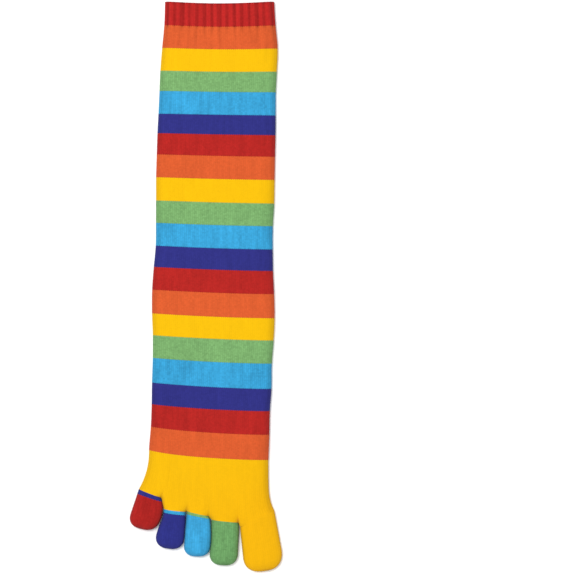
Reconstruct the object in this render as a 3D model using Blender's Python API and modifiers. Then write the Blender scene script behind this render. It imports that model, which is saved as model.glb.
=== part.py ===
"""A knee-high toe sock lying flat: a ribbed cuff, a leg of coloured stripes, a foot and five toes.

Every piece is a tube of knitted cloth, flattened where it lies, open at its ends and hollow inside.
Run it with: blender --background --python part.py
Metres, +Z up. +Y points from the toes to the cuff, and the sock lies with its instep up on Z = 0.
"""

import math

import bmesh
import bpy
import numpy as np
from mathutils import Vector

# Knitted cloth
WALL = 0.0015  # thickness of the cloth
FOLD_RADIUS = 0.0012  # inside radius of the fold along each side of a flattened tube
HOLLOW = 0.0065  # height that stays open inside, at the middle of a tube
PIECE_GAP = 0.0003  # clearance between neighbouring pieces
WELD = 0.000001  # points this close become one

# Cuff
CUFF_HEIGHT = 0.0210
RIBS_PER_FACE = 14  # ribs on the upper face, and as many on the lower one
RIB_DEPTH = 0.0007
MOUTH_SAG = 0.0020  # how far the mouth sags at its middle
SAG_LENGTH = 0.090  # the stripes sag too, less and less over this length
GATHER_LENGTH = 0.012  # how far the ribs run on into the first stripe as gathers
GATHER_SHARE = 0.6  # depth of the gathers where they begin, as a share of RIB_DEPTH

# Leg
LEG_WIDTH = 0.105
STRIPE_HEIGHT = 0.020
STRIPE_CLIMB = 0.0062  # how far the lowest stripe climbs from its big-toe side to its little-toe side
CLIMB_POWER = 1.6  # how late it climbs: 1 is a straight line
DENT_DEPTH = 0.0008

# Foot and toes
FOOT_LENGTH = 0.0627  # from the last stripe to the lowest point of the toe line
TOE_LINE_WIDTH = 0.119  # across the foot where the toes begin
TOE_LINE_SHIFT = -0.0016  # the toe line's middle, sideways from the ankle's middle
FLARE_LEFT = 1.8  # how late the foot widens on the little-toe side: 1 is a straight side
FLARE_RIGHT = 5.0  # and on the big-toe side
CLEFT_START = 5.0  # how late the foot's upper face dips towards the clefts between the toes
TOE_LENGTH = 0.0462  # the big toe's
TOE_BAND_HEIGHT = 0.004  # the contrasting band at the base of the little toe
CLEFT = 0.0004  # space between two neighbouring toes
TIP_ROUNDNESS = 0.9  # length of a toe's round end, as a share of half its width
TIP_POWER = 2.4  # shape of the round end: 2 is an ellipse, and more is squarer

# The upper edge of the cuff, as shares of LEG_WIDTH.
MOUTH = {"width": 0.915, "lean": 0.094}

# One row for each knitted band below the mouth. Height is a share of STRIPE_HEIGHT (the cuff has its own),
# width and lean are shares of LEG_WIDTH at the band's lower edge, lean being to the side of the ankle's middle.
BAND_COLUMNS = ("yarn", "height", "width", "lean")
BANDS = [
    dict(zip(BAND_COLUMNS, row))
    for row in (
        ("red", None, 0.931, 0.097),
        ("orange", 1.01, 0.973, 0.098),
        ("yellow", 1.01, 0.977, 0.085),
        ("green", 0.90, 0.973, 0.077),
        ("blue", 1.01, 0.982, 0.073),
        ("indigo", 0.86, 0.990, 0.068),
        ("red", 0.94, 0.990, 0.063),
        ("orange", 1.01, 0.994, 0.058),
        ("yellow", 1.03, 0.990, 0.057),
        ("green", 0.99, 0.977, 0.050),
        ("blue", 1.01, 0.977, 0.050),
        ("indigo", 0.94, 0.998, 0.042),
        ("red", 1.01, 1.023, 0.040),
        ("orange", 1.05, 1.028, 0.042),
        ("yellow", 0.97, 1.011, 0.042),
        ("green", 1.01, 0.994, 0.033),
        ("blue", 1.10, 1.003, 0.029),
        ("indigo", 0.97, 0.990, 0.020),
        ("red", 1.03, 0.998, 0.015),
        ("orange", 1.10, 1.015, 0.000),
    )
]

# Shallow dents in the upper face of the leg. Down and long are shares of the leg's length, across runs from
# -1 at the little-toe side to 1 at the big-toe side, and depth is a share of DENT_DEPTH.
DENT_COLUMNS = ("down", "across", "long", "wide", "depth")
DENTS = [
    dict(zip(DENT_COLUMNS, row))
    for row in (
        (0.18, 0.75, 0.06, 0.25, 0.9),
        (0.50, -0.10, 0.07, 0.25, 0.8),
        (0.70, 0.55, 0.09, 0.30, 0.7),
        (0.88, -0.55, 0.08, 0.35, 1.0),
    )
]

# The six edges that bound the five toes, from the little toe's outer side to the big toe's. Across is a share
# of TOE_LINE_WIDTH. Before and after are how far down the base of the toe on each side of the edge ends, as
# shares of FOOT_LENGTH. The leans are of those two toes' sides, in degrees towards the big toe.
EDGE_COLUMNS = ("across", "before", "after", "lean_before", "lean_after")
EDGES = [
    dict(zip(EDGE_COLUMNS, row))
    for row in (
        (0.000, None, 0.44, None, -18.5),
        (0.172, 0.56, 0.69, -13.0, -13.0),
        (0.352, 0.76, 0.75, -4.5, -4.5),
        (0.533, 0.82, 0.87, -3.5, -3.5),
        (0.744, 0.91, 0.98, -3.0, 6.0),
        (1.000, 0.74, None, 11.5, None),
    )
]

# Length is a share of TOE_LENGTH, and band_height of TOE_BAND_HEIGHT.
TOE_COLUMNS = ("name", "yarn", "length", "band_yarn", "band_height")
TOES = [
    dict(zip(TOE_COLUMNS, row))
    for row in (
        ("little_toe", "red", 0.705, "indigo", 1.0),
        ("fourth_toe", "indigo", 0.745, "blue", 0.9),
        ("third_toe", "blue", 0.815, "green", 0.7),
        ("second_toe", "green", 0.84, None, None),
        ("big_toe", "yellow", 1.00, None, None),
    )
]

YARNS = {
    "red": (0.51, 0.022, 0.020),
    "orange": (0.79, 0.124, 0.034),
    "yellow": (0.98, 0.58, 0.006),
    "green": (0.22, 0.46, 0.16),
    "blue": (0.046, 0.39, 0.73),
    "indigo": (0.038, 0.038, 0.25),
}
YARN_ROUGHNESS = 0.9

# The cross-section, and how finely each kind of tube is divided: along the upper face, round a side fold,
# and along the lower face.
FACES = TOP, RIGHT_FOLD, UNDER, LEFT_FOLD = 0, 1, 2, 3
FOLD_OUTER = FOLD_RADIUS + WALL
CROWN = HOLLOW - 2 * FOLD_RADIUS  # how far the upper face rises between its folds
CROWN_POWER = 4  # high: the upper face is flat in the middle and falls near its folds
STRIPE_SPANS = {"top": 14, "fold": 4, "under": 10}
SPANS_PER_RIB = 4
RIBBED_SPANS = {
    "top": SPANS_PER_RIB * RIBS_PER_FACE,
    "fold": SPANS_PER_RIB,
    "under": SPANS_PER_RIB * RIBS_PER_FACE,
}
TOE_SPANS = {"top": 8, "fold": 3, "under": 6}
FOOT_COURSES = 5
TOE_SHAFT_COURSES = 2
TIP_ANGLES = (24, 46, 66, 90)  # degrees round the end of a toe, where it has a course


def even_turns(top, fold, under):
    """Where the wales of a tube run, as turns: each face of the section is one turn."""
    turns = []
    for face, spans in zip(FACES, (top, fold, under, fold)):
        turns += [face + i / spans for i in range(spans)]
    return turns + [float(len(FACES))]


def section_point(turn, half_width, radius, crown):
    """A point of a flattened tube's section, as its distance across and its height above the floor."""
    face, part = divmod(turn % len(FACES), 1)
    flat = half_width - radius
    if face == TOP:
        across = 2 * part - 1
        return flat * across, FOLD_OUTER + radius + crown * (1 - across**CROWN_POWER)
    if face == UNDER:
        return flat * (1 - 2 * part), FOLD_OUTER - radius
    side = 1 if face == RIGHT_FOLD else -1
    angle = math.pi * (0.5 - part)
    return side * (flat + radius * math.cos(angle)), FOLD_OUTER + side * radius * math.sin(angle)


def rib_groove(turn):
    """1 in the middle of a groove between two ribs, falling to 0 on the ribs."""
    face, part = divmod(turn % len(FACES), 1)
    ribs = RIBS_PER_FACE if face in (TOP, UNDER) else 1
    phase = part * ribs % 1
    return max(0.0, 1 - SPANS_PER_RIB * min(phase, 1 - phase))


def band_edges():
    """How far down from the mouth each band begins and ends."""
    heights = [CUFF_HEIGHT] + [STRIPE_HEIGHT * band["height"] for band in BANDS[1:]]
    return [sum(heights[:i]) for i in range(len(heights) + 1)]


BAND_EDGES = band_edges()
LEG_LENGTH = BAND_EDGES[-1]


def leg_outline(down):
    """The leg's half width and its middle, at a distance down from the mouth."""
    rows = [MOUTH] + BANDS
    width, lean = (
        LEG_WIDTH * np.interp(down, BAND_EDGES, [row[column] for row in rows])
        for column in ("width", "lean")
    )
    return width / 2, lean


def rib_depth(down):
    """Full depth on the cuff, then gathers that fade out in the first stripe."""
    if down <= CUFF_HEIGHT:
        return RIB_DEPTH
    return RIB_DEPTH * GATHER_SHARE * max(0.0, 1 - (down - CUFF_HEIGHT) / GATHER_LENGTH)


def dent_depth(down, across):
    return DENT_DEPTH * sum(
        dent["depth"]
        * math.exp(-(((down / LEG_LENGTH - dent["down"]) / dent["long"]) ** 2))
        * math.exp(-(((across - dent["across"]) / dent["wide"]) ** 2))
        for dent in DENTS
    )


def climb(down, across):
    """Stripes climb towards the little toe, the more the nearer they are to the foot."""
    return STRIPE_CLIMB * down / LEG_LENGTH * (((1 - across) / 2) ** CLIMB_POWER - 0.5**CLIMB_POWER)


def sag(down, across):
    return MOUTH_SAG * (1 - across**2) * max(0.0, 1 - down / SAG_LENGTH)


def upper_share(turn):
    """From -1 to 1 along the upper face, and 1 everywhere else."""
    return 2 * turn - 1 if turn < RIGHT_FOLD else 1.0


def leg_point(turn, down):
    half_width, middle = leg_outline(down)
    sink = rib_depth(down) * rib_groove(turn)
    x, z = section_point(turn, half_width - sink, FOLD_OUTER - sink, CROWN)
    share = upper_share(turn)
    z -= dent_depth(down, share) * (1 - share**CROWN_POWER)
    across = x / half_width
    y = LEG_LENGTH - down + climb(down, across) - sag(down, across)
    return Vector((middle + x, y, z))


def edge_step(edge):
    """How far an edge's two corners stand to the right and left of it, so that both toes' sides lie along it."""
    if edge["before"] is None or edge["after"] is None:
        return 0.0
    lean = math.radians((edge["lean_before"] + edge["lean_after"]) / 2)
    return FOOT_LENGTH * (edge["before"] - edge["after"]) / 2 * math.tan(lean)


def toe_line_knots():
    """The corners of the toes along the toe line: their place along it from its left end, how far they stand
    to the right of that place, and how far down from the ankle they lie."""
    along, aside, down = [], [], []
    for left, right in zip(EDGES, EDGES[1:]):
        along += [
            TOE_LINE_WIDTH * left["across"] + (CLEFT / 2 if along else 0),
            TOE_LINE_WIDTH * right["across"] - (CLEFT / 2 if right is not EDGES[-1] else 0),
        ]
        aside += [-edge_step(left), edge_step(right)]
        down += [FOOT_LENGTH * left["after"], FOOT_LENGTH * right["before"]]
    return along, aside, down


TOE_LINE_ALONG, TOE_LINE_ASIDE, TOE_LINE_DOWN = toe_line_knots()
TOE_LINE_LEFT = TOE_LINE_SHIFT - TOE_LINE_WIDTH / 2


def toe_line_point(along):
    """A point of the toe line, by its place along it."""
    aside = np.interp(along, TOE_LINE_ALONG, TOE_LINE_ASIDE)
    return Vector((TOE_LINE_LEFT + along + aside, -np.interp(along, TOE_LINE_ALONG, TOE_LINE_DOWN)))


def toe_corners(index):
    """The two corners of a toe's base, left and right."""
    return [toe_line_point(TOE_LINE_ALONG[knot]) for knot in (2 * index, 2 * index + 1)]


def foot_turns():
    """Wales that reach the toe line at the toes' corners, at their middles and halfway between those."""
    flat = TOE_LINE_WIDTH - 2 * FOLD_OUTER
    knots = []
    for left, right in zip(TOE_LINE_ALONG[::2], TOE_LINE_ALONG[1::2]):
        knots += [left + (right - left) * share for share in (0, 0.25, 0.5, 0.75, 1)]
    parts = [min(1.0, max(0.0, (knot - FOLD_OUTER) / flat)) for knot in knots]
    fold = STRIPE_SPANS["fold"]
    turns = [TOP + part for part in parts]
    turns += [RIGHT_FOLD + i / fold for i in range(1, fold)]
    turns += [UNDER + 1 - part for part in reversed(parts)]
    turns += [LEFT_FOLD + i / fold for i in range(1, fold)]
    return turns + [float(len(FACES))]


def toe_rise(along):
    """1 over the middle of a toe, 0 over the clefts beside it, for a place along the toe line."""
    for left, right in zip(TOE_LINE_ALONG[::2], TOE_LINE_ALONG[1::2]):
        if left <= along <= right:
            half_flat = (right - left) / 2 - FOLD_OUTER
            share = min(1.0, abs(along - (left + right) / 2) / half_flat)
            return 1 - share**CROWN_POWER
    return 0.0


def foot_point(turn, course):
    """Course 0 is the ankle, next to the last stripe, and course 1 is the toe line."""
    ankle = leg_point(turn, LEG_LENGTH)
    x, z = section_point(turn, TOE_LINE_WIDTH / 2, FOLD_OUTER, CROWN)
    along = x + TOE_LINE_WIDTH / 2
    if turn <= RIGHT_FOLD:
        z = 2 * FOLD_OUTER + CROWN * toe_rise(along)
    end = toe_line_point(along)
    top = ankle.y - PIECE_GAP
    flare = FLARE_LEFT + (FLARE_RIGHT - FLARE_LEFT) * along / TOE_LINE_WIDTH
    return Vector(
        (
            ankle.x + (end.x - ankle.x) * course**flare,
            top + (end.y - top) * course,
            ankle.z + (z - ankle.z) * course**CLEFT_START,
        )
    )


def toe_frame(index):
    """A toe's base corners and the corners of its tip, where its two sides would meet a line across its end."""
    bases = toe_corners(index)
    leans = [math.radians(EDGES[index]["lean_after"]), math.radians(EDGES[index + 1]["lean_before"])]
    sides = [Vector((math.sin(lean), -math.cos(lean))) for lean in leans]
    axis = (sides[0] + sides[1]).normalized()
    tip = (bases[0] + bases[1]) / 2 + axis * TOE_LENGTH * TOES[index]["length"]
    tips = [base + side * ((tip - base).dot(axis) / side.dot(axis)) for base, side in zip(bases, sides)]
    return bases, tips


def toe_point(index, turn, course):
    """Course 0 is the toe's base on the toe line, and course 1 is its tip."""
    bases, tips = toe_frame(index)
    left, right = (base.lerp(tip, course) for base, tip in zip(bases, tips))
    length = TOE_LENGTH * TOES[index]["length"]
    round_length = TIP_ROUNDNESS * (tips[1] - tips[0]).length / 2
    into_round = max(0.0, 1 - (1 - course) * length / round_length)
    half_width = (right - left).length / 2 * max(0.0, 1 - into_round**TIP_POWER) ** (1 / TIP_POWER)
    to_tip = min((1 - course) * length, FOLD_OUTER)
    radius = min(half_width, math.sqrt(to_tip * (2 * FOLD_OUTER - to_tip)))
    crown = CROWN * (1 - into_round**CROWN_POWER)
    x, z = section_point(turn, half_width, radius, crown)
    flat = (left + right) / 2 + (right - left).normalized() * x
    return Vector((flat.x, flat.y, z))


def tube(name, yarn, turns, courses, place):
    """A sheet of wales and courses, rolled into a tube and given the cloth's thickness."""
    mesh = bpy.data.meshes.new(name)
    sheet = bmesh.new()
    wales, rows = len(turns) - 1, len(courses) - 1
    bmesh.ops.create_grid(sheet, x_segments=wales, y_segments=rows, size=0.5)
    for vertex in sheet.verts:
        turn = turns[round((vertex.co.x + 0.5) * wales)]
        course = courses[round((vertex.co.y + 0.5) * rows)]
        vertex.co = place(turn, course)
    bmesh.ops.remove_doubles(sheet, verts=sheet.verts, dist=WELD)
    bmesh.ops.recalc_face_normals(sheet, faces=sheet.faces)
    sheet.to_mesh(mesh)
    sheet.free()
    mesh.materials.append(yarn_material(yarn))
    mesh.shade_smooth()
    piece = bpy.data.objects.new(name, mesh)
    cloth = piece.modifiers.new("cloth", "SOLIDIFY")
    cloth.thickness = WALL
    cloth.offset = -1
    cloth.use_quality_normals = True
    return piece


def yarn_material(yarn):
    """One material for each colour of yarn, shared by the pieces that are knitted from it."""
    name = f"{yarn}_yarn"
    found = bpy.data.materials.get(name)
    if found:
        return found
    material = bpy.data.materials.new(name)
    material.use_nodes = True
    shader = material.node_tree.nodes["Principled BSDF"]
    shader.inputs["Base Color"].default_value = (*YARNS[yarn], 1)
    shader.inputs["Roughness"].default_value = YARN_ROUGHNESS
    shader.inputs["Metallic"].default_value = 0
    material.diffuse_color = (*YARNS[yarn], 1)
    return material


def cuff():
    return tube("cuff", BANDS[0]["yarn"], even_turns(**RIBBED_SPANS), [0, CUFF_HEIGHT - PIECE_GAP / 2], leg_point)


def stripes():
    """The leg's stripes, numbered from the cuff. The first one is gathered where it meets the ribs."""
    pieces = []
    for number, band in enumerate(BANDS[1:], start=1):
        start, end = BAND_EDGES[number] + PIECE_GAP / 2, BAND_EDGES[number + 1] - PIECE_GAP / 2
        courses, spans = [start, end], STRIPE_SPANS
        if number == 1:
            courses, spans = [start, min(start + GATHER_LENGTH, (start + end) / 2), end], RIBBED_SPANS
        name = f"stripe_{number:02d}_{band['yarn']}"
        pieces.append(tube(name, band["yarn"], even_turns(**spans), courses, leg_point))
    return pieces


def foot():
    courses = [i / FOOT_COURSES for i in range(FOOT_COURSES + 1)]
    return tube("foot", "yellow", foot_turns(), courses, foot_point)


def toe(index):
    """A toe with its round end closed, and the contrasting band at its base where it has one."""
    row = TOES[index]
    length = TOE_LENGTH * row["length"]
    gap = PIECE_GAP / length
    bases, tips = toe_frame(index)
    round_share = TIP_ROUNDNESS * (tips[1] - tips[0]).length / 2 / length

    def place(turn, course):
        return toe_point(index, turn, course)

    turns = even_turns(**TOE_SPANS)
    pieces, start = [], gap
    if row["band_yarn"]:
        end = gap + TOE_BAND_HEIGHT * row["band_height"] / length
        pieces.append(tube(f"{row['name']}_band", row["band_yarn"], turns, [start, end], place))
        start = end + gap
    shaft = 1 - round_share - start
    courses = [start + shaft * i / TOE_SHAFT_COURSES for i in range(TOE_SHAFT_COURSES + 1)]
    courses += [1 - round_share * (1 - math.sin(math.radians(angle))) for angle in TIP_ANGLES]
    pieces.append(tube(row["name"], row["yarn"], turns, courses, place))
    return pieces


def lay_down(pieces):
    """Puts the pieces in one collection, under an empty that stands the sock's middle on the origin."""
    collection = bpy.data.collections.new("toe_sock")
    bpy.context.scene.collection.children.link(collection)
    sock = bpy.data.objects.new("toe_sock", None)
    for member in (sock, *pieces):
        collection.objects.link(member)
    corners = [Vector(vertex.co) for piece in pieces for vertex in piece.data.vertices]
    low, high = (Vector(map(pick, *corners)) for pick in (min, max))
    sock.location = (-(low.x + high.x) / 2, -(low.y + high.y) / 2, -low.z)
    for piece in pieces:
        piece.parent = sock


def main():
    for leftover in list(bpy.data.objects):
        bpy.data.objects.remove(leftover)
    pieces = [cuff(), *stripes(), foot()]
    for index in range(len(TOES)):
        pieces += toe(index)
    lay_down(pieces)


main()
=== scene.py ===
"""The looks of a knee-high toe sock that lies flat: knitted stripes, a ribbed cuff and five toes.

Every piece is knitted: its stitches stand in relief, in wales that run from the cuff to the toes
and courses that run round the sock.
"""

import math

import bmesh
import bpy
import numpy as np
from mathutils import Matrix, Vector


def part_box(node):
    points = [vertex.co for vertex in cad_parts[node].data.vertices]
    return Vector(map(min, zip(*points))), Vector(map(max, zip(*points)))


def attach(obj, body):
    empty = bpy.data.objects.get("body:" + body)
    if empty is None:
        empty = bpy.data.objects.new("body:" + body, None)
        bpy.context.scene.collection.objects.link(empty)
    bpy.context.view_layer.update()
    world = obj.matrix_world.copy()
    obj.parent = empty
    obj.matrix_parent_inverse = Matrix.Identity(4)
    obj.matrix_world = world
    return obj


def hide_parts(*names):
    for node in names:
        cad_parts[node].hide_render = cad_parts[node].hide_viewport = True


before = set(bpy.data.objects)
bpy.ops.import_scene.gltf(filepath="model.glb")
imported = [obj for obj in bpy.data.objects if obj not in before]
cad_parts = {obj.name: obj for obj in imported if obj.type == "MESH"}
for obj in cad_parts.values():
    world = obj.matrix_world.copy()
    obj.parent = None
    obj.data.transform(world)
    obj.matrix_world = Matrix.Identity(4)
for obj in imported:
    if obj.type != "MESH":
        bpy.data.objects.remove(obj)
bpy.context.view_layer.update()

# Knitted cloth
WALL = 0.0015
FOLD = 0.0027  # outside radius of the fold along each side
CROWN = 0.0041  # how far the upper face rises between its folds
CROWN_POWER = 4
ROUNDING = 0.0065  # how far from its sides a wide tube's upper face begins to round off
LEAST_POWER = 2.6  # the upper face of a narrow tube, such as a toe's: 2 is an ellipse
JOIN = 0.00004  # clearance between two colours
TOUCH = 0.000005  # clearance at the toe line, where foot and toes are knitted in one
WELD = 0.000001
END_ANGLE = math.radians(75)  # sharper corners, at the ends of a tube's wall, aren't shaded smooth

# Stitches
COURSE = 0.0013  # height of a stitch
SLANT = 0.5  # how far a stitch's legs lean down from their middle, in courses
STITCH_RELIEF = 0.00026
STITCH_SIDES = (0, 0.5, 1)  # from the middle of a wale to its side
STITCH_HEIGHTS = (0.35, 1.0, 0.0)  # how high the yarn stands there
STITCH_ENDS = 0.55  # how high a leg stands at its ends, as a share of its middle
SEAM_RELIEF = 0.35  # how deep the flattened cloth lies where foot and toes meet, as a share of the relief
SEAM_COURSES = 1.5  # the stitches flatten over so many courses there

# Cuff
CUFF_HEIGHT = 0.0210
WELT = 0.0006  # how much thicker the cuff's doubled cloth is
LIP_STEPS = (0.17, 0.33, 0.5, 0.67, 0.83)
MOUTH_SAG = 0.0020
SAG_LENGTH = 0.090
# A painted dark line along the mouth's edge, where the back layer lies in shade:
MOUTH_SHADE = 0.35
MOUTH_SHADE_LENGTH = 0.0012
WALES_PER_RIB = 4
RIB_DEPTH = 0.0014
# Painted shade in the rib grooves:
RIB_SHADE = 0.30  # how much darker the yarn is deep in a groove
RIB_SHARPNESS = 2.2
SHARPNESS_SWINGS = ((0.9, 2.4, 0.0), (0.5, 5.1, 1.0))  # from groove to groove: size, step and start
RIB_FULLNESS = 0.85
FULLNESS_SWING = (0.15, 3.7, 0.5)
GATHER_LENGTH = 0.005  # the cuff's grooves run on into the first stripe, fading over about this length
GATHER_SHARE = 0.8

# Leg
LEG_WIDTH = 0.105
STRIPE_HEIGHT = 0.020
STRIPE_CLIMB = 0.0062
CLIMB_POWER = 1.6
ANKLE_LIFT = 0.0024  # how far more the lowest stripe's edge climbs at the little-toe side
ANKLE_DRAWN_IN = 0.0008  # how much less than the solid's the ankle's half width is
ANKLE_POWER = 12  # both start close above the ankle
LIFT_SIDE_POWER = 5
DENT_DEPTH = 0.0008
# Painted shade in the tucks and along the sides:
TUCK_SHADE = 0.22
SIDE_SHADE = 0.14
SIDE_POWER = 24  # only a narrow strip along each side is shaded
EDGE_SOFTNESS = 0.008  # the side outline is rounded over this length
OUTLINE_STEP = 0.0005
OUTLINE_MARGIN = 0.03
ROUNDING_STEPS = 12

# Foot
FOOT_LENGTH = 0.0627
FOOT_COURSES = 44
FOOT_INNER_ROWS = 9
TOE_LINE_WIDTH = 0.119
TOE_LINE_SHIFT = -0.0016
FLARE_LEFT = 2.2
FLARE_RIGHT = 5.0
FOOT_WARMTH = 0.08
STRAIGHTENING = 12  # the courses grow straight over the last one in so many parts of the foot
CLEFT = 0.00005
CLEFT_START = 14.0
PINCH_LENGTH = 0.0035  # the cloth is drawn in over this length where two toes meet
PINCH_LEAST = 0.0007  # half the sock's thickness left there
SLIT = 0.00015  # half the space left inside it

# Toes
TOE_LENGTH = 0.0462
TOE_BAND_HEIGHT = 0.004
TOE_STITCH = 0.00185  # width of a toe's stitch
STRAIGHT_COURSES = 3  # the stitches reach their full slant over so many courses
TIP_ROUNDNESS = 0.9
TIP_POWER = 2.4
TIP_FADE = 1.5  # how soon the stitches flatten towards the tip
TIP_ROWS = 1.35  # rows in a round tip, as a multiple of those that its radius would take
LEAST_TIP_ROWS = 4
INNER_STEP = 4  # the inside has one row for so many outside
# Painted shade along a toe's sides and round its tip:
RIM_WIDTH = 0.0035
RIM_SHADE = 0.20

# How many wales the leg has on each face: along the top, round a side fold, and along the bottom.
FACES = (56, 4, 56, 4)
WALES = sum(FACES)
STEPS = 4  # columns of the mesh in a wale

# Each band's height, and its width and middle at its lower edge, as shares of the sizes above.
MOUTH = {"width": 0.915, "lean": 0.094}
BAND_COLUMNS = ("yarn", "height", "width", "lean")
BANDS = [
    dict(zip(BAND_COLUMNS, row))
    for row in (
        ("red", None, 0.931, 0.097),
        ("orange", 1.01, 0.973, 0.098),
        ("yellow", 1.01, 0.977, 0.085),
        ("green", 0.90, 0.973, 0.077),
        ("blue", 1.01, 0.982, 0.073),
        ("indigo", 0.86, 0.990, 0.068),
        ("red", 0.94, 0.990, 0.063),
        ("orange", 1.01, 0.994, 0.058),
        ("yellow", 1.03, 0.990, 0.057),
        ("green", 0.99, 0.977, 0.050),
        ("blue", 1.01, 0.977, 0.050),
        ("indigo", 0.94, 0.998, 0.042),
        ("red", 1.01, 1.023, 0.040),
        ("orange", 1.05, 1.028, 0.042),
        ("yellow", 0.97, 1.011, 0.042),
        ("green", 1.01, 0.994, 0.033),
        ("blue", 1.10, 1.003, 0.029),
        ("indigo", 0.97, 0.990, 0.020),
        ("red", 1.03, 0.998, 0.015),
        ("orange", 1.10, 1.015, 0.000),
    )
]

# Where a dent's middle lies, as shares of the leg's length and half width, and how large it is.
DENT_COLUMNS = ("down", "across", "long", "wide", "depth")
DENTS = [
    dict(zip(DENT_COLUMNS, row))
    for row in (
        (0.18, 0.75, 0.06, 0.25, 0.9),
        (0.50, -0.10, 0.07, 0.25, 0.8),
        (0.70, 0.55, 0.09, 0.30, 0.7),
        (0.88, -0.55, 0.08, 0.35, 1.0),
    )
]

# Soft upright tucks below the cuff, where the leg is gathered.
TUCKS = [
    dict(zip(DENT_COLUMNS, row))
    for row in (
        (0.085, 0.01, 0.022, 0.030, 0.45),
        (0.085, -0.45, 0.020, 0.035, 0.35),
        (0.095, -0.24, 0.020, 0.025, 0.25),
        (0.085, 0.28, 0.018, 0.030, 0.25),
        (0.085, 0.64, 0.020, 0.060, 0.45),
        (0.095, 0.86, 0.025, 0.040, 0.35),
        (0.085, -0.75, 0.018, 0.040, 0.30),
    )
]

# The toe line's corners, from the little toe's side to the big toe's: how far across each lies, how
# far down the line lies before and after it, and how many degrees the toes' sides lean there.
EDGE_COLUMNS = ("across", "before", "after", "lean_before", "lean_after")
EDGES = [
    dict(zip(EDGE_COLUMNS, row))
    for row in (
        (0.000, None, 0.44, None, -18.5),
        (0.172, 0.56, 0.72, -13.0, -11.0),
        (0.352, 0.76, 0.75, -4.5, -4.5),
        (0.533, 0.82, 0.87, -3.5, -3.5),
        (0.744, 0.91, 0.98, -3.0, 6.0),
        (1.000, 0.74, None, 10.6, None),
    )
]

# Where one toe presses into the next one, by edge: how far down from the ankle, over what length,
# and how far.
PRESSES = {1: (0.0500, 0.0110, 0.0028), 3: (0.0723, 0.0130, 0.0013)}
PRESS_REACH = 0.007

# How far the base of the toe before an edge is drawn in there, and over what length its side
# swells out again.
SHOULDERS = {1: 0.0022, 2: 0.0006, 3: 0.0022, 4: 0.0010}
SHOULDER_LENGTH = 0.0030

# A toe's length and the height of the band at its base are shares of the sizes above.
TOE_COLUMNS = ("name", "yarn", "length", "band_yarn", "band_height")
TOES = [
    dict(zip(TOE_COLUMNS, row))
    for row in (
        ("little_toe", "red", 0.705, "indigo", 1.0),
        ("fourth_toe", "indigo", 0.735, "blue", 0.75),
        ("third_toe", "blue", 0.815, "green", 0.6),
        ("second_toe", "green", 0.84, None, None),
        ("big_toe", "yellow", 1.00, None, None),
    )
]

# Each yarn's colour, how much it varies at random between stitches, in specks and in patches, and
# the share of it that is left between two wales, as painted shade.
YARN_COLUMNS = ("colour", "heather", "speckle", "mottle", "groove")
YARNS = {
    name: dict(zip(YARN_COLUMNS, row))
    for name, row in {
        "red": ((0.367, 0.0152, 0.0126), 0.12, 0.10, 0.16, 0.92),
        "orange": ((0.566, 0.0886, 0.0226), 0.10, 0.08, 0.12, 0.94),
        "yellow": ((0.725, 0.4120, 0.0018), 0.03, 0.02, 0.05, 0.96),
        "green": ((0.161, 0.3380, 0.1210), 0.20, 0.11, 0.12, 0.84),
        "blue": ((0.0336, 0.2890, 0.5320), 0.16, 0.08, 0.24, 0.86),
        "indigo": ((0.0241, 0.0252, 0.1790), 0.12, 0.08, 0.12, 0.90),
    }.items()
}

# The yarns of the cuff, the foot and the toes are not quite those of the stripes.
TINTS = {
    "cuff": (1.13, 1.08, 1.16),
    "foot": (1.0, 0.97, 1.0),
    "big_toe": (0.99, 0.90, 1.15),
    "second_toe": (0.78, 0.86, 0.85),
    "third_toe": (1.15, 1.05, 1.05),
    "fourth_toe": (0.92, 1.02, 1.05),
    "little_toe": (0.90, 0.86, 0.88),
}

COTTON = {"Roughness": 0.95, "Specular IOR Level": 0.05, "Sheen Weight": 0.04, "Sheen Roughness": 0.6}
# Painted shade between two wales:
GROOVE_START = 0.33  # the yarn darkens from here to the side of its wale, at 0.5
SPECKLE_SCALE = 650
STREAK_SCALES = (260, 45, 260)
MOTTLE_SCALE = 22
FUZZ_SCALE = 2600
FUZZ_HEIGHT = 0.0001

# The studio
PAPER = (0.95, 0.95, 0.95, 1)
PAPER_SIZE = 3
PAPER_DROP = 0.0002  # how far the floor lies below the sock
SOFTBOX_AT = (-0.7, 0.65, 2.5)
SOFTBOX_SIZE = 1.3
SOFTBOX_POWER = 52.5
DAYLIGHT = 0.75
CAMERA_AT = (0.0704, -0.0002, 2.7960)


def band_edges():
    """How far below the mouth each band begins, and the ankle at the end."""
    heights = [CUFF_HEIGHT] + [STRIPE_HEIGHT * band["height"] for band in BANDS[1:]]
    return np.concatenate([[0.0], np.cumsum(heights)])


BAND_EDGES = band_edges()
LEG_LENGTH = BAND_EDGES[-1]

# The sock is drawn with the ankle's middle at zero, then moved to where its solids lie.
ANKLE_LEFT = -LEG_WIDTH * BANDS[-1]["width"] / 2
SHIFT = np.array(
    [
        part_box("stripe_19_orange")[0][0] - ANKLE_LEFT,
        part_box("cuff")[1][1] - LEG_LENGTH,
        0.0,
    ]
)


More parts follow.
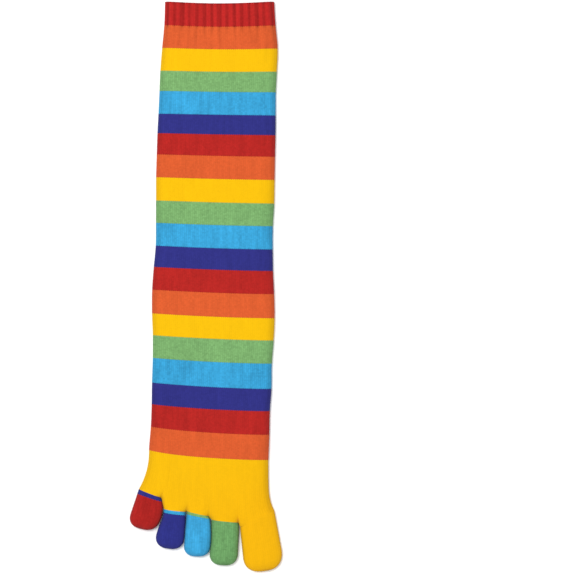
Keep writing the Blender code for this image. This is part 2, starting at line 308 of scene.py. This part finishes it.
def leg_outline(down):
    """The leg's half width and middle. The corners between bands are rounded off."""
    fine = np.arange(-OUTLINE_MARGIN, LEG_LENGTH + OUTLINE_MARGIN, OUTLINE_STEP)
    reach = np.arange(-ROUNDING_STEPS, ROUNDING_STEPS + 1) * OUTLINE_STEP * 2
    weights = np.exp(-((reach / EDGE_SOFTNESS) ** 2))
    found = []
    for column in ("width", "lean"):
        values = [LEG_WIDTH * row[column] for row in [MOUTH] + BANDS]
        mean = sum(w * np.interp(fine + r, BAND_EDGES, values) for r, w in zip(reach, weights))
        mean /= weights.sum()
        # The rounding must not move the two ends.
        ends = np.interp(fine, [0.0, LEG_LENGTH], [0.0, 1.0])
        at_mouth = values[0] - np.interp(0.0, fine, mean)
        at_ankle = values[-1] - np.interp(LEG_LENGTH, fine, mean)
        mean += at_mouth * (1 - ends) + at_ankle * ends
        found.append(np.interp(down, fine, mean))
    # The side towards the little toe is drawn in twice as far as the other.
    drawn_in = ANKLE_DRAWN_IN * np.clip(down / LEG_LENGTH, 0, 1) ** ANKLE_POWER
    return found[0] / 2 - drawn_in, found[1] + drawn_in / 3


def turns_of(wale, faces):
    """How many of a tube's four faces lie before a wale."""
    stops = np.cumsum((0,) + tuple(faces))
    return np.interp(wale, stops, np.arange(len(faces) + 1))


def rounded(across, half_width):
    """1 in the middle of a tube's upper face, and falling smoothly to 0 at its sides."""
    power = np.maximum(LEAST_POWER, half_width / ROUNDING)
    share = np.clip(np.abs(across) / np.maximum(half_width, WELD), 0, 1)
    return np.sqrt(1 - share**power)


def section(turn, half_width, radius, crown):
    """Across and up for a flattened tube's section. Each face of the tube is one turn."""
    face = np.minimum(np.floor(turn), 3)
    part = turn - face
    flat = half_width - radius
    angle = math.pi * (0.5 - part)
    side = np.where(face == 1, 1.0, -1.0)
    share = np.where(face == 0, 2 * part - 1, 1 - 2 * part)
    on_fold = (face == 1) | (face == 3)
    x = np.where(on_fold, side * (flat + radius * np.cos(angle)), flat * share)
    z = np.where(on_fold, FOLD + side * radius * np.sin(angle), FOLD - radius)
    upper = (face == 0) | (on_fold & (side * np.sin(angle) > 0))
    return x, np.where(upper, FOLD + (radius + crown) * rounded(x, half_width), z)


def wale_side(wale):
    """0 at the middle of a wale, 1 where it meets the next one."""
    return np.abs(wale % 1 - 0.5) * 2


def stitch_sink(wale, course, flatten=0.0):
    """How far the cloth lies below its stitches' tops. Each stitch has two rounded legs that meet in a V."""
    side = wale_side(wale)
    legs = np.interp(side, STITCH_SIDES, STITCH_HEIGHTS)
    swell = STITCH_ENDS + (1 - STITCH_ENDS) * (0.5 - 0.5 * np.cos(2 * math.pi * course))
    return STITCH_RELIEF * ((1 - legs * swell) * (1 - flatten) + SEAM_RELIEF * flatten)


def zigzag(wale):
    """Stitches are V-shaped, so a course lies nearer to the cuff in the middle of each wale."""
    return COURSE * SLANT * (wale_side(wale) - 0.5)


def swing(number, size, step, start):
    return size * np.sin(number * step + start)


def rib_groove(wale, down):
    """1 deep in a groove between two ribs, and 0 on the ribs. No two grooves are quite alike."""
    phase = wale / WALES_PER_RIB
    number = np.round(phase)
    power = RIB_SHARPNESS + sum(swing(number, *each) for each in SHARPNESS_SWINGS)
    depth = RIB_FULLNESS + swing(number, *FULLNESS_SWING)
    groove = depth * (0.5 + 0.5 * np.cos(2 * math.pi * phase)) ** power
    fade = GATHER_SHARE * np.exp(-(np.maximum(down - CUFF_HEIGHT, 0) / GATHER_LENGTH))
    return groove * np.where(down <= CUFF_HEIGHT, 1.0, fade)


def dent_share(down, share, dents):
    """How deep the dents are at a point, as a share of DENT_DEPTH."""
    return sum(
        dent["depth"]
        * np.exp(-(((down / LEG_LENGTH - dent["down"]) / dent["long"]) ** 2))
        * np.exp(-(((share - dent["across"]) / dent["wide"]) ** 2))
        for dent in dents
    )


def leg_painted_shade(wale, down):
    """Painted shade: the yarn is coloured darker deep in a groove or a tuck, and at the sides."""
    turn = turns_of(wale, FACES)
    share = np.where(turn < 1, 2 * turn - 1, 1.0)
    tucks = np.where(turn < 1, dent_share(down, share, TUCKS), 0)
    side = np.where(turn < 1, np.abs(share), 1.0) ** SIDE_POWER
    ribs = 1 - RIB_SHADE * rib_groove(wale, down)
    return ribs * (1 - TUCK_SHADE * tucks) * (1 - SIDE_SHADE * side)


def climb(down, across):
    """How far a course climbs towards the little toe's side."""
    left = (1 - across) / 2
    straight = STRIPE_CLIMB * down / LEG_LENGTH * (left**CLIMB_POWER - 0.5**CLIMB_POWER)
    low = np.clip(down / LEG_LENGTH, 0, 1) ** ANKLE_POWER
    return straight + ANKLE_LIFT * low * left**LIFT_SIDE_POWER


def sag(down, across):
    """How far the middle of a course near the mouth lies below its ends."""
    return MOUTH_SAG * (1 - across**2) * np.maximum(0, 1 - down / SAG_LENGTH)


def leg_at(wale, down, inset):
    """A point of the leg, inset from the outside of the cloth."""
    half_width, middle = leg_outline(down)
    turn = turns_of(wale, FACES)
    x, z = section(turn, half_width - inset, FOLD - inset, CROWN)
    share = np.where(turn < 1, 2 * turn - 1, 1.0)
    sunk = DENT_DEPTH * (dent_share(down, share, DENTS) + dent_share(down, share, TUCKS))
    z = z - sunk * (1 - share**CROWN_POWER)
    across = np.clip(x / half_width, -1, 1)
    y = LEG_LENGTH - down + climb(down, across) - sag(down, across)
    return middle + x, y, z


def number_stitches(mesh, wales, courses):
    """Makes the map count in stitches: its whole numbers lie between two wales or two courses."""
    layer = mesh.uv_layers["knit"].uv
    uv = np.empty(len(layer) * 2)
    layer.foreach_get("vector", uv)
    uv = uv.reshape(-1, 2)
    last = len(courses) - 1
    uv[:, 1] = np.interp(uv[:, 1] * last, np.arange(last + 1), courses)
    uv[:, 0] *= wales
    layer.foreach_set("vector", uv.ravel())


def close_tube(mesh):
    """Joins the sheet's edges where they meet, and closes the tip of a toe."""
    cloth = bmesh.new()
    cloth.from_mesh(mesh)
    bmesh.ops.remove_doubles(cloth, verts=cloth.verts, dist=WELD)
    loose = [edge for edge in cloth.edges if not edge.link_faces]
    bmesh.ops.delete(cloth, geom=loose, context="EDGES")
    bmesh.ops.recalc_face_normals(cloth, faces=cloth.faces)
    cloth.to_mesh(mesh)
    cloth.free()


def knit(name, wales, rows, place, yarn):
    """A grid of wales and rows, rolled into a tube and folded back inside itself as the cloth's wall.

    Each row is a dict of the values that place takes beside the wale, the number of its course among
    them. Place gives the point of the cloth and the painted shade of its yarn there, on the foot also its
    warmth.
    """
    columns, last = wales * STEPS, len(rows) - 1
    sheet = bmesh.new()
    sheet.loops.layers.uv.new("knit")
    bmesh.ops.create_grid(sheet, x_segments=columns, y_segments=last, size=0.5, calc_uvs=True)
    mesh = bpy.data.meshes.new(name)
    sheet.to_mesh(mesh)
    sheet.free()
    at = np.empty(len(mesh.vertices) * 3)
    mesh.vertices.foreach_get("co", at)
    at = at.reshape(-1, 3)
    wale = np.rint((at[:, 0] + 0.5) * columns) / STEPS % wales
    row = np.rint((at[:, 1] + 0.5) * last).astype(int)
    keys = rows[0].keys()
    values = {key: np.array([each[key] for each in rows])[row] for key in keys}
    x, y, z, painted_shade_and_tint = place(wale, **values)
    mesh.vertices.foreach_set("co", (np.stack([x, y, z], 1) + SHIFT).ravel())
    # The painted shade from place, times the piece's yarn tint.
    painted_shade_times_tint = np.ones((len(x), 4))
    painted_shade_times_tint[:, :3] = painted_shade_and_tint.reshape(len(x), -1) * np.array(TINTS.get(name, (1, 1, 1)))
    mesh.attributes.new("painted_shade_and_tint", "FLOAT_COLOR", "POINT").data.foreach_set("color", painted_shade_times_tint.ravel())
    number_stitches(mesh, wales, np.array([each["course"] for each in rows]))
    close_tube(mesh)
    mesh.shade_smooth()
    mesh.set_sharp_from_angle(angle=END_ANGLE)
    mesh.materials.append(yarns[yarn])
    piece = bpy.data.objects.new(f"knitted_{name}", mesh)
    bpy.context.scene.collection.objects.link(piece)
    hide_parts(name)
    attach(piece, "root")
    return piece


def closed_rows(outer, inner):
    """Down the outside, back up the inside, and round to the first row again."""
    return outer + inner[::-1] + outer[:1]


def band_rows(start, end, first_course):
    """A stripe's rows, two to a course, and how many courses it has."""
    count = max(1, round((end - start) / COURSE))

    def row(step, inner):
        down = start + (end - start) * step
        return {"down": down, "inner": inner, "course": first_course + count * step}

    outer = [row(step, 0.0) for step in np.linspace(0, 1, 2 * count + 1)]
    inner = [row(step, 1.0) for step in (0.0, 0.5, 1.0)]
    return closed_rows(outer, inner), count


def place_band(wale, down, inner, course):
    """A stripe's rows lie on the outside of the cloth, or where inner is 1, on its inside."""
    sink = stitch_sink(wale, course) + RIB_DEPTH * rib_groove(wale, down)
    point = leg_at(wale, down + zigzag(wale), np.where(inner > 0, WALL, sink))
    return *point, leg_painted_shade(wale, down)


def place_cuff(wale, down, inner, course):
    """The cuff's rows also run round its lip, where inner goes from 0 to 1."""
    ribs = rib_groove(wale, np.minimum(down, CUFF_HEIGHT))
    sink = stitch_sink(wale, course) + RIB_DEPTH * ribs
    inside = WALL + WELT - sink
    lip = 0.5 - 0.5 * np.cos(math.pi * inner)
    inset = sink * (1 - lip) + inside * lip
    fade = np.clip(down / (2 * COURSE), 0, 1)
    # Painted shade: a dark line along the mouth's edge.
    edge = 1 - MOUTH_SHADE * np.exp(-((down / MOUTH_SHADE_LENGTH) ** 2))
    return *leg_at(wale, down + zigzag(wale) * fade, inset), leg_painted_shade(wale, down) * edge


def cuff_rows():
    """The cuff's rows: up its outside from the first stripe, round its lip, and down inside."""
    end = CUFF_HEIGHT - JOIN / 2
    count = round(CUFF_HEIGHT / COURSE)
    radius = WALL / 2
    steps = np.linspace(0, 1, 2 * count + 1)

    def row(step, inner):
        return {"down": end + (radius - end) * step, "inner": inner, "course": count * (1 - step)}

    outer = [row(step, 0.0) for step in steps]
    lip = [
        {"down": radius * (1 - math.sin(math.pi * step)), "inner": step, "course": 0.0}
        for step in LIP_STEPS
    ]
    inner = [row(step, 1.0) for step in steps[::-1]]
    return outer + lip + inner + outer[:1]


def edge_step(edge):
    """How far aside the toe line's step lies at its ends, because the toe's side there leans."""
    if edge["before"] is None or edge["after"] is None:
        return 0.0
    lean = math.radians((edge["lean_before"] + edge["lean_after"]) / 2)
    return FOOT_LENGTH * (edge["before"] - edge["after"]) / 2 * math.tan(lean)


def toe_line_knots():
    """The toe line: how far along it each toe's two corners lie, how far aside, and how far down."""
    along, aside, down = [], [], []
    for left, right in zip(EDGES, EDGES[1:]):
        along += [
            TOE_LINE_WIDTH * left["across"] + (CLEFT / 2 if along else 0),
            TOE_LINE_WIDTH * right["across"] - (CLEFT / 2 if right is not EDGES[-1] else 0),
        ]
        shoulder = SHOULDERS.get(EDGES.index(right), 0)
        aside += [-edge_step(left), edge_step(right) - shoulder]
        down += [FOOT_LENGTH * left["after"], FOOT_LENGTH * right["before"]]
    return np.array(along), np.array(aside), np.array(down)


TOE_LINE_ALONG, TOE_LINE_ASIDE, TOE_LINE_DOWN = toe_line_knots()
TOE_LINE_LEFT = TOE_LINE_SHIFT - TOE_LINE_WIDTH / 2


def toe_line_point(along):
    """Where a point of the toe line lies, from the ankle's middle."""
    aside = np.interp(along, TOE_LINE_ALONG, TOE_LINE_ASIDE)
    return TOE_LINE_LEFT + along + aside, -np.interp(along, TOE_LINE_ALONG, TOE_LINE_DOWN)


def toe_corners(index):
    return [Vector(toe_line_point(TOE_LINE_ALONG[knot])) for knot in (2 * index, 2 * index + 1)]


def toe_line_height(along):
    """How far the upper and the lower face lie above and below the folds' height at the toe line."""
    above = np.zeros_like(along)
    below = np.full_like(along, FOLD)
    for index in range(len(TOES)):
        left, right = TOE_LINE_ALONG[2 * index : 2 * index + 2]
        inside = (along >= left - CLEFT / 2) & (along <= right + CLEFT / 2)
        middle = (left + right) / 2
        above = np.where(inside, (FOLD + CROWN) * rounded(along - middle, (right - left) / 2), above)
        from_side = np.minimum(along - left, right - along)
        if index == 0:
            from_side = np.where(along < middle, FOLD, right - along)
        if index == len(TOES) - 1:
            from_side = np.where(along > middle, FOLD, along - left)
        from_side = np.clip(from_side, 0, FOLD)
        arc = np.sqrt(np.maximum(0, from_side * (2 * FOLD - from_side)))
        below = np.where(inside, arc, below)
    return np.maximum(above, PINCH_LEAST), np.maximum(below, PINCH_LEAST)


def press(x, y):
    """Moves the boundary between two toes where one presses into the other."""
    moved = x
    for index, (down, length, depth) in PRESSES.items():
        edge = EDGES[index]
        edge_x, edge_y = toe_line_point(TOE_LINE_WIDTH * edge["across"])
        slope = math.tan(math.radians((edge["lean_before"] + edge["lean_after"]) / 2))
        from_edge = x - edge_x - (edge_y - y) * slope
        near = np.exp(-(((y + down) / length) ** 2) - (from_edge / PRESS_REACH) ** 2)
        moved = moved + depth * near
    return moved


def place_foot(wale, course_share, inner, course):
    """The foot runs from the ankle's oval to the toe line, where it is pinched between the toes."""
    at_seam = np.clip(1 - (1 - course_share) * FOOT_COURSES / SEAM_COURSES, 0, 1)
    inset = np.where(inner > 0, WALL, stitch_sink(wale, course, at_seam))
    turn = turns_of(wale, FACES)
    down = np.full_like(wale, LEG_LENGTH)
    ankle_x, _, ankle_z = leg_at(wale, down, inset)
    x, z = section(turn, TOE_LINE_WIDTH / 2 - inset, FOLD - inset, CROWN)
    outer_x, _ = section(turn, TOE_LINE_WIDTH / 2, FOLD, CROWN)
    along = outer_x + TOE_LINE_WIDTH / 2
    end_x, end_y = toe_line_point(along)
    above, below = toe_line_height(along)
    under = (turn >= 2) & (turn <= 3)
    on_upper = (turn < 1.5) | (turn > 3.5)
    z = np.where(on_upper, FOLD + np.maximum(above - inset, SLIT), z)
    t = course_share
    # The inner wall starts from the same rim as the outer one.
    outer_y = leg_at(wale, down, np.zeros_like(wale))[1]
    start, stop = outer_y - JOIN / 2, end_y + TOUCH
    y = start + (stop - start) * t - zigzag(wale) * np.clip((1 - t) * STRAIGHTENING, 0, 1)
    flare = FLARE_LEFT + (FLARE_RIGHT - FLARE_LEFT) * along / TOE_LINE_WIDTH
    found_x = ankle_x + (end_x + x - outer_x - ankle_x) * t**flare
    found_z = ankle_z + (z - ankle_z) * t**CLEFT_START
    near = np.clip(1 - (1 - t) * (start - stop) / PINCH_LENGTH, 0, 1) ** 2
    hang = np.maximum(FOLD - (FOLD - below) * near - inset, SLIT)
    found_z = np.where(under, FOLD - hang, found_z)
    # Painted shade along the foot's sides, as on the leg.
    share = np.where(turn <= 1, np.abs(2 * turn - 1), 1.0)
    side = 1 - SIDE_SHADE * share**SIDE_POWER
    # The yellow is warmer towards the big toe.
    warm = FOOT_WARMTH * t * along / TOE_LINE_WIDTH
    warmth = np.stack([np.ones_like(warm), 1 - warm, 1 + warm], 1)
    return press(found_x, y), y, found_z, side[:, None] * warmth


def foot_rows(first_course):
    """The foot's rows, by their share of the way from the ankle to the toe line."""

    def row(share, inner):
        return {"course_share": share, "inner": inner, "course": first_course + FOOT_COURSES * share}

    outer = [row(share, 0.0) for share in np.linspace(0, 1, 2 * FOOT_COURSES + 1)]
    inner = [row(share, 1.0) for share in np.linspace(0, 1, FOOT_INNER_ROWS)]
    return closed_rows(outer, inner)


def toe_frame(index):
    """The two corners of a toe's base, and those of its tip before it is rounded."""
    bases = toe_corners(index)
    leans = [math.radians(EDGES[index]["lean_after"]), math.radians(EDGES[index + 1]["lean_before"])]
    sides = [Vector((math.sin(lean), -math.cos(lean))) for lean in leans]
    axis = (sides[0] + sides[1]).normalized()
    tip = (bases[0] + bases[1]) / 2 + axis * TOE_LENGTH * TOES[index]["length"]
    tips = [base + side * ((tip - base).dot(axis) / side.dot(axis)) for base, side in zip(bases, sides)]
    return bases, tips


def toe_faces(index):
    """How many wales a toe has on each face."""
    bases, _ = toe_frame(index)
    flat = (bases[1] - bases[0]).length - 2 * FOLD
    along = round(flat / TOE_STITCH)
    return (along, FACES[1], along, FACES[3])


def toe_placer(index):
    """A function that places a toe's points, with the toe's length, its tip's length and its faces."""
    bases, tips = (np.array([list(p) for p in pair]) for pair in toe_frame(index))
    length = TOE_LENGTH * TOES[index]["length"]
    faces = toe_faces(index)
    round_length = TIP_ROUNDNESS * np.linalg.norm(tips[1] - tips[0]) / 2

    def place(wale, share, inner, course):
        far = share * length
        seam = np.clip(far / (STRAIGHT_COURSES * COURSE), 0, 1)
        into_round = np.clip(1 - (length - far) / round_length, 0, 1)
        open_share = np.maximum(0, 1 - into_round**TIP_POWER) ** (1 / TIP_POWER)
        zig = zigzag(wale) * seam * open_share
        at_seam = np.clip(1 - far / (SEAM_COURSES * COURSE), 0, 1)
        sink = stitch_sink(wale, course, at_seam) * np.clip(open_share * TIP_FADE, 0, 1)
        inset = np.where(inner > 0, WALL, sink)
        reach = (far + zig) * np.where(inner > 0, (length - WALL) / length, 1.0) / length
        left, right = (base + (tip - base) * reach[:, None] for base, tip in zip(bases, tips))
        swell = SHOULDERS.get(index + 1, 0) * (1 - np.exp(-far / SHOULDER_LENGTH))
        right = right + swell[:, None] * np.array([1.0, 0.0])
        span = np.linalg.norm(right - left, axis=1)
        half_width = np.maximum(0, span / 2 - inset) * open_share
        to_tip = np.minimum((length - far), FOLD)
        radius = np.sqrt(np.maximum(0, to_tip * (2 * FOLD - to_tip)))
        radius = np.minimum(half_width, radius * (FOLD - inset) / FOLD)
        crown = CROWN * (1 - into_round**CROWN_POWER)
        x, z = section(turns_of(wale, faces), half_width, radius, crown)
        flat = (left + right) / 2 + (right - left) / span[:, None] * x[:, None]
        # Painted shade along the toe's sides and round its tip.
        rim = np.clip(1 - (half_width - np.abs(x)) / RIM_WIDTH, 0, 1) ** 2
        rim = np.maximum(rim, np.clip(1 - (length - far) / RIM_WIDTH, 0, 1) ** 2)
        return press(flat[:, 0], flat[:, 1]), flat[:, 1], z, 1 - RIM_SHADE * rim

    return place, length, round_length, faces


def toe_rows(start, end, length, round_length, first_course):
    """Rows from start to end, in metres from the toe's base, and round the tip if end is its whole length."""
    if end < length:
        count = max(1, round((end - start) / COURSE))
        shares = np.linspace(start, end, 2 * count + 1) / length
    else:
        shaft = max(1, round((length - round_length - start) / COURSE))
        cap = max(LEAST_TIP_ROWS, round(round_length * TIP_ROWS / COURSE))
        straight = np.linspace(start, length - round_length, 2 * shaft + 1)
        angles = np.linspace(0, math.pi / 2, 2 * cap + 1)[1:]
        shares = np.concatenate([straight, length - round_length * (1 - np.sin(angles))]) / length
        count = shaft + cap
    outer = [
        {"share": share, "inner": 0.0, "course": first_course + count * number / (len(shares) - 1)}
        for number, share in enumerate(shares)
    ]
    coarse = [0, len(shares) - 1] if end < length else list(range(0, len(shares), INNER_STEP))
    if coarse[-1] != len(shares) - 1:
        coarse.append(len(shares) - 1)
    inner = [{**outer[number], "inner": 1.0} for number in coarse]
    return closed_rows(outer, inner), count


def yarn_material(name, colour, heather, speckle, mottle, groove):
    """Cotton jersey: each stitch's yarn varies a little at random, and painted shade darkens it between two
    wales.
    """
    material = bpy.data.materials.new(f"{name}_yarn_knit")
    material.use_nodes = True
    tree = material.node_tree
    nodes, links = tree.nodes, tree.links
    shader = nodes["Principled BSDF"]
    for socket, value in COTTON.items():
        shader.inputs[socket].default_value = value

    def maths(operation, *values):
        node = nodes.new("ShaderNodeMath")
        node.operation = operation
        for socket, value in zip(node.inputs, values):
            if isinstance(value, (int, float)):
                socket.default_value = value
            else:
                links.new(value, socket)
        return node.outputs[0]

    def noise(scale, detail, stretch=None):
        texture = nodes.new("ShaderNodeTexNoise")
        texture.inputs["Scale"].default_value = scale
        texture.inputs["Detail"].default_value = detail
        source = coordinates.outputs["Object"]
        if stretch:
            mapping = nodes.new("ShaderNodeMapping")
            mapping.inputs["Scale"].default_value = stretch
            links.new(source, mapping.inputs["Vector"])
            source = mapping.outputs[0]
        links.new(source, texture.inputs["Vector"])
        return texture.outputs[0]

    uv = nodes.new("ShaderNodeUVMap")
    uv.uv_map = "knit"
    parts = nodes.new("ShaderNodeSeparateXYZ")
    links.new(uv.outputs["UV"], parts.inputs[0])
    wale, course = parts.outputs["X"], parts.outputs["Y"]
    coordinates = nodes.new("ShaderNodeTexCoord")

    stitch = nodes.new("ShaderNodeCombineXYZ")
    links.new(maths("FLOOR", wale), stitch.inputs["X"])
    links.new(maths("FLOOR", course), stitch.inputs["Y"])
    each = nodes.new("ShaderNodeTexWhiteNoise")
    each.noise_dimensions = "2D"
    links.new(stitch.outputs[0], each.inputs["Vector"])

    # Painted shade: the yarn is coloured darker towards the side of its wale.
    side = maths("ABSOLUTE", maths("SUBTRACT", maths("FRACT", wale), 0.5))
    painted_groove_shade = nodes.new("ShaderNodeMapRange")
    painted_groove_shade.interpolation_type = "SMOOTHSTEP"
    painted_groove_shade.inputs["From Min"].default_value = GROOVE_START
    painted_groove_shade.inputs["From Max"].default_value = 0.5
    painted_groove_shade.inputs["To Min"].default_value = 1.0
    painted_groove_shade.inputs["To Max"].default_value = groove
    links.new(side, painted_groove_shade.inputs["Value"])

    level = 1.0
    for pattern, strength in (
        (each.outputs["Value"], heather),
        (noise(SPECKLE_SCALE, 2), 3 * speckle),
        (noise(1, 3, STREAK_SCALES), 2.5 * mottle),
        (noise(MOTTLE_SCALE, 2), mottle),
    ):
        level = maths("ADD", level, maths("MULTIPLY", maths("SUBTRACT", pattern, 0.5), strength))
    level = maths("MULTIPLY", level, painted_groove_shade.outputs[0])

    def mixed(a, b):
        node = nodes.new("ShaderNodeMix")
        node.data_type = "RGBA"
        node.blend_type = "MULTIPLY"
        node.inputs["Factor"].default_value = 1.0
        for socket, value in zip((node.inputs["A"], node.inputs["B"]), (a, b)):
            if isinstance(value, tuple):
                socket.default_value = value
            else:
                links.new(value, socket)
        return node.outputs["Result"]

    shade = nodes.new("ShaderNodeCombineColor")
    for channel in shade.inputs[:3]:
        links.new(level, channel)
    # Painted shade in grooves, tucks and along the sides and rims, times the piece's tint, from its points.
    painted_shade_and_tint = nodes.new("ShaderNodeAttribute")
    painted_shade_and_tint.attribute_name = "painted_shade_and_tint"
    dye_and_painted_shade = mixed(mixed((*colour, 1), shade.outputs[0]), painted_shade_and_tint.outputs["Color"])
    links.new(dye_and_painted_shade, shader.inputs["Base Color"])

    bump = nodes.new("ShaderNodeBump")
    bump.inputs["Strength"].default_value = 0.5
    bump.inputs["Distance"].default_value = FUZZ_HEIGHT
    links.new(noise(FUZZ_SCALE, 3), bump.inputs["Height"])
    links.new(bump.outputs[0], shader.inputs["Normal"])
    return material


yarns = {name: yarn_material(name, **values) for name, values in YARNS.items()}


def make_cuff():
    """Knits the cuff, and returns the number of the course that comes next."""
    cuff = knit("cuff", WALES, cuff_rows(), place_cuff, BANDS[0]["yarn"])
    return round(CUFF_HEIGHT / COURSE)


def make_stripe(number, first_course):
    """Knits one of the leg's stripes, and returns the number of the course that comes next."""
    above, band = BANDS[number - 1], BANDS[number]
    start, end = BAND_EDGES[number] + JOIN / 2, BAND_EDGES[number + 1] - JOIN / 2
    rows, count = band_rows(start, end, first_course)
    stripe = knit(f"stripe_{number:02d}_{band['yarn']}", WALES, rows, place_band, band["yarn"])
    return first_course + count


def make_foot(first_course):
    """Knits the foot, and returns the number of the course that the toes begin with."""
    foot = knit("foot", WALES, foot_rows(first_course), place_foot, "yellow")
    return first_course + FOOT_COURSES


def make_toe(index, first_course):
    """Knits a toe, with the band at its base if it has one."""
    toe, start, bands = TOES[index], TOUCH, []
    place, length, round_length, faces = toe_placer(index)
    if toe["band_yarn"]:
        end = start + TOE_BAND_HEIGHT * toe["band_height"]
        rows, count = toe_rows(start, end, length, round_length, first_course)
        bands = [knit(f"{toe['name']}_band", sum(faces), rows, place, toe["band_yarn"])]
        start, first_course = end + JOIN, first_course + count
    rows, _ = toe_rows(start, length, length, round_length, first_course)
    tip = knit(toe["name"], sum(faces), rows, place, toe["yarn"])


# The sock is knitted from the cuff down, and its courses are numbered on from piece to piece.
next_course = make_cuff()
for number in range(1, len(BANDS)):
    next_course = make_stripe(number, next_course)
next_course = make_foot(next_course)
for index in range(len(TOES)):
    make_toe(index, next_course)


def lay_floor():
    """White paper under the sock."""
    mesh = bpy.data.meshes.new("floor")
    ground = bmesh.new()
    bmesh.ops.create_grid(ground, x_segments=1, y_segments=1, size=PAPER_SIZE)
    ground.to_mesh(mesh)
    ground.free()
    material = bpy.data.materials.new("white_paper")
    material.use_nodes = True
    shader = material.node_tree.nodes["Principled BSDF"]
    shader.inputs["Base Color"].default_value = PAPER
    shader.inputs["Roughness"].default_value = 1
    mesh.materials.append(material)
    piece = bpy.data.objects.new("floor", mesh)
    piece.location.z = -PAPER_DROP
    bpy.context.scene.collection.objects.link(piece)


def hang_softbox():
    lamp = bpy.data.lights.new("softbox", "AREA")
    lamp.shape = "DISK"
    lamp.size = SOFTBOX_SIZE
    lamp.energy = SOFTBOX_POWER
    piece = bpy.data.objects.new("softbox", lamp)
    piece.location = SOFTBOX_AT
    piece.rotation_euler = (-Vector(SOFTBOX_AT)).to_track_quat("-Z", "Y").to_euler()
    bpy.context.scene.collection.objects.link(piece)


def light_room():
    world = bpy.data.worlds.new("studio")
    world.use_nodes = True
    sky = world.node_tree.nodes["Background"]
    sky.inputs["Color"].default_value = (1, 1, 1, 1)
    sky.inputs["Strength"].default_value = DAYLIGHT
    bpy.context.scene.world = world
    bpy.context.scene.view_settings.view_transform = "Standard"


def set_camera():
    """A long lens straight above the sock, which lies at the left of the picture."""
    lens = bpy.data.cameras.new("camera")
    lens.lens = 200
    lens.sensor_width = 36
    camera = bpy.data.objects.new("camera", lens)
    camera.location = CAMERA_AT
    bpy.context.scene.collection.objects.link(camera)
    bpy.context.scene.camera = camera


lay_floor()
hang_softbox()
light_room()
set_camera()
